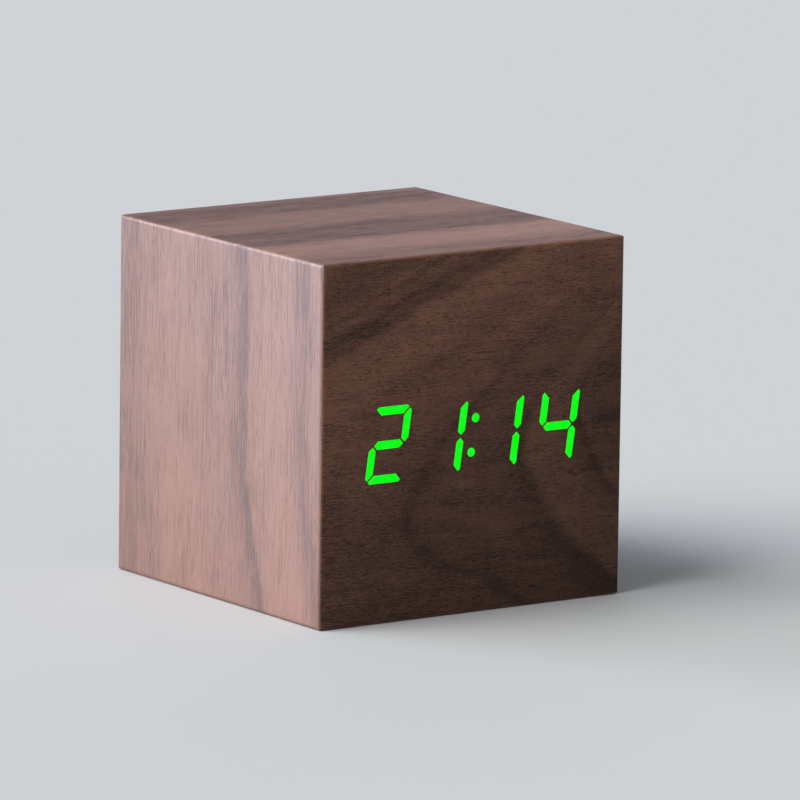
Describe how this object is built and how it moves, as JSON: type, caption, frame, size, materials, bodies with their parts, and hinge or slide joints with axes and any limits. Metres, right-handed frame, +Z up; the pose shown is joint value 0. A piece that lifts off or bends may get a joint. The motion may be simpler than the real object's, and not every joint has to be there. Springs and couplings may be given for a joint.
{
  "type": "digital alarm clock",
  "caption": "Cube alarm clock in walnut veneer with green LED digits in its front, and a plastic back cover with buttons, sound switch, power inlet and battery door.",
  "frame": {"origin": "centre of the underside, on the surface that the clock stands on", "axes": "+Z up, the front with the digits faces -Y, +X to the right seen from the front"},
  "size_m": [0.068, 0.068, 0.068],
  "materials": {
    "walnut_front": "satin walnut veneer, grain across the face",
    "walnut_top": "satin walnut veneer, grain across the face",
    "walnut_side": "satin walnut veneer, upright grain",
    "walnut_base": "satin walnut veneer",
    "walnut_edging": "satin walnut veneer strips",
    "fibreboard": "raw fibreboard",
    "softwood": "planed softwood",
    "lit_segment": "clear light guide, lit green",
    "dark_segment": "light guide, unlit, seen through the veneer",
    "mask_film": "matt black film",
    "white_plastic": "white moulded plastic",
    "led_chip": "light-emitting chip under yellow resin",
    "circuit_board": "green solder resist on glass epoxy",
    "chip_package": "black moulded package",
    "ribbon_grey": "grey ribbon cable",
    "cover_plastic": "black moulded plastic, fine spark texture",
    "button_plastic": "black moulded plastic, satin",
    "zinc_screw": "zinc plated steel",
    "nickel": "nickel plated steel",
    "cap_sleeve": "dark blue sleeve",
    "lead_red": "red soft insulation",
    "lead_black": "black soft insulation",
    "cell_jacket": "printed cell jacket, plain bands"
  },
  "bodies": {
    "case": {"front_veneer": "walnut_front", "top_veneer": "walnut_top", "bottom_veneer": "walnut_base", "left_veneer": "walnut_side", "right_veneer": "walnut_side", "back_edging": "walnut_edging", "front_board": "fibreboard", "top_board": "fibreboard", "bottom_board": "fibreboard", "left_board": "fibreboard", "right_board": "fibreboard", "cover_blocks": "softwood", "lit_lenses": "lit_segment", "dark_lenses": "dark_segment", "segment_mask": "mask_film", "display_reflector": "white_plastic", "led_chips": "led_chip", "display_board": "circuit_board", "display_spacers": "white_plastic", "display_screws": "zinc_screw", "display_driver_chip": "chip_package", "segment_resistors": "chip_package", "display_ribbon": "ribbon_grey", "back_cover": "cover_plastic", "cover_screws": "zinc_screw", "main_board": "circuit_board", "main_board_screws": "zinc_screw", "set_switch": "nickel", "up_switch": "nickel", "down_switch": "nickel", "sound_switch_case": "nickel", "dc_jack_case": "button_plastic", "dc_jack_pin": "nickel", "microphone": "nickel", "clock_chip": "chip_package", "crystal": "nickel", "capacitor": "cap_sleeve", "buzzer": "chip_package", "backup_cell_holder": "chip_package", "backup_cell": "nickel", "battery_lead_red": "lead_red", "battery_lead_black": "lead_black", "battery_contacts": "nickel", "battery_springs": "nickel", "aaa_cell_1": "cell_jacket", "aaa_cell_2": "cell_jacket", "aaa_cell_3": "cell_jacket"},
    "set_key": {"set_button": "button_plastic", "set_plunger": "button_plastic"},
    "up_key": {"up_button": "button_plastic", "up_plunger": "button_plastic"},
    "down_key": {"down_button": "button_plastic", "down_plunger": "button_plastic"},
    "sound_key": {"sound_switch_lever": "button_plastic"},
    "battery_lid": {"battery_door": "cover_plastic", "battery_door_latch": "button_plastic"}
  },
  "joints": [
    {"name": "set_button_press", "type": "slide", "parent": "case", "child": "set_key", "axis": [0, -1, 0], "range_m": [0, 0.0005], "stiffness_N_per_m": 200},
    {"name": "up_button_press", "type": "slide", "parent": "case", "child": "up_key", "axis": [0, -1, 0], "range_m": [0, 0.0005], "stiffness_N_per_m": 200},
    {"name": "down_button_press", "type": "slide", "parent": "case", "child": "down_key", "axis": [0, -1, 0], "range_m": [0, 0.0005], "stiffness_N_per_m": 200},
    {"name": "sound_switch_slide", "type": "slide", "parent": "case", "child": "sound_key", "axis": [1, 0, 0], "range_m": [0, 0.002]},
    {"name": "battery_door_hinge", "type": "hinge", "parent": "case", "child": "battery_lid", "pos_m": [0, 0.0307, 0.0079], "axis": [-1, 0, 0], "range_deg": [0, 95], "deforming": ["battery_door_latch"]}
  ]
}
